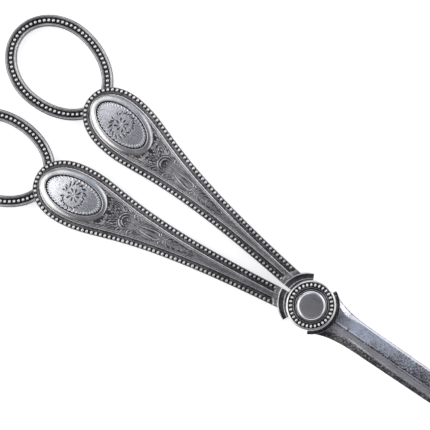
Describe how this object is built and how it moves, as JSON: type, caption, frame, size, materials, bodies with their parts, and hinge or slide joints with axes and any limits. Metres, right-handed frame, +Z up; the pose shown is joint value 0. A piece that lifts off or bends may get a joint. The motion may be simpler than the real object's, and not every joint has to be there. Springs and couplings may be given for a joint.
{
  "type": "grape scissors",
  "caption": "Scissor-action table tongs with flat overlapping blades, beaded tapering handles with oval cartouches, and egg-shaped finger loops.",
  "frame": {"origin": "on the pivot axis, at the flat underside of the pivot pin's head, in the plane that the scissors lie on", "axes": "+Y along the closed blades towards their tips, +Z up along the pivot axis towards the front button, +X towards the finger half's handle"},
  "size_m": [0.056, 0.176, 0.007],
  "materials": {
    "oxidised_silver": "satin silver plate, antiqued dark in the recesses",
    "bead_silver": "polished beads with dark roots",
    "polished_silver": "bright polished silver plate with fine scratches",
    "plate_silver": "bright plate with engraved scrollwork",
    "blade_silver": "fine ground satin with a bright bevel",
    "bronze": "plain turned bronze"
  },
  "bodies": {
    "finger_half": {"finger_blade": "blade_silver", "finger_bolster": "oxidised_silver", "finger_handle": "oxidised_silver", "finger_loop": "oxidised_silver", "finger_front_bead_wire": "bead_silver", "finger_front_bezel": "polished_silver", "finger_front_plate": "plate_silver", "finger_front_loop_beads": "bead_silver", "finger_back_bead_wire": "bead_silver", "finger_back_bezel": "polished_silver", "finger_back_plate": "plate_silver", "finger_back_loop_beads": "bead_silver", "pivot_pin": "oxidised_silver", "pivot_washer": "bronze", "boss": "oxidised_silver", "boss_bead_ring": "bead_silver", "boss_button": "polished_silver"},
    "thumb_half": {"thumb_blade": "blade_silver", "thumb_bolster": "oxidised_silver", "thumb_handle": "oxidised_silver", "thumb_loop": "oxidised_silver", "thumb_front_bead_wire": "bead_silver", "thumb_front_bezel": "polished_silver", "thumb_front_plate": "plate_silver", "thumb_front_loop_beads": "bead_silver", "thumb_back_bead_wire": "bead_silver", "thumb_back_bezel": "polished_silver", "thumb_back_plate": "plate_silver", "thumb_back_loop_beads": "bead_silver"}
  },
  "joints": [
    {"name": "pivot", "type": "hinge", "parent": "finger_half", "child": "thumb_half", "pos_m": [0, 0, 0.0025], "axis": [0, 0, -1], "range_deg": [-2, 54]}
  ]
}
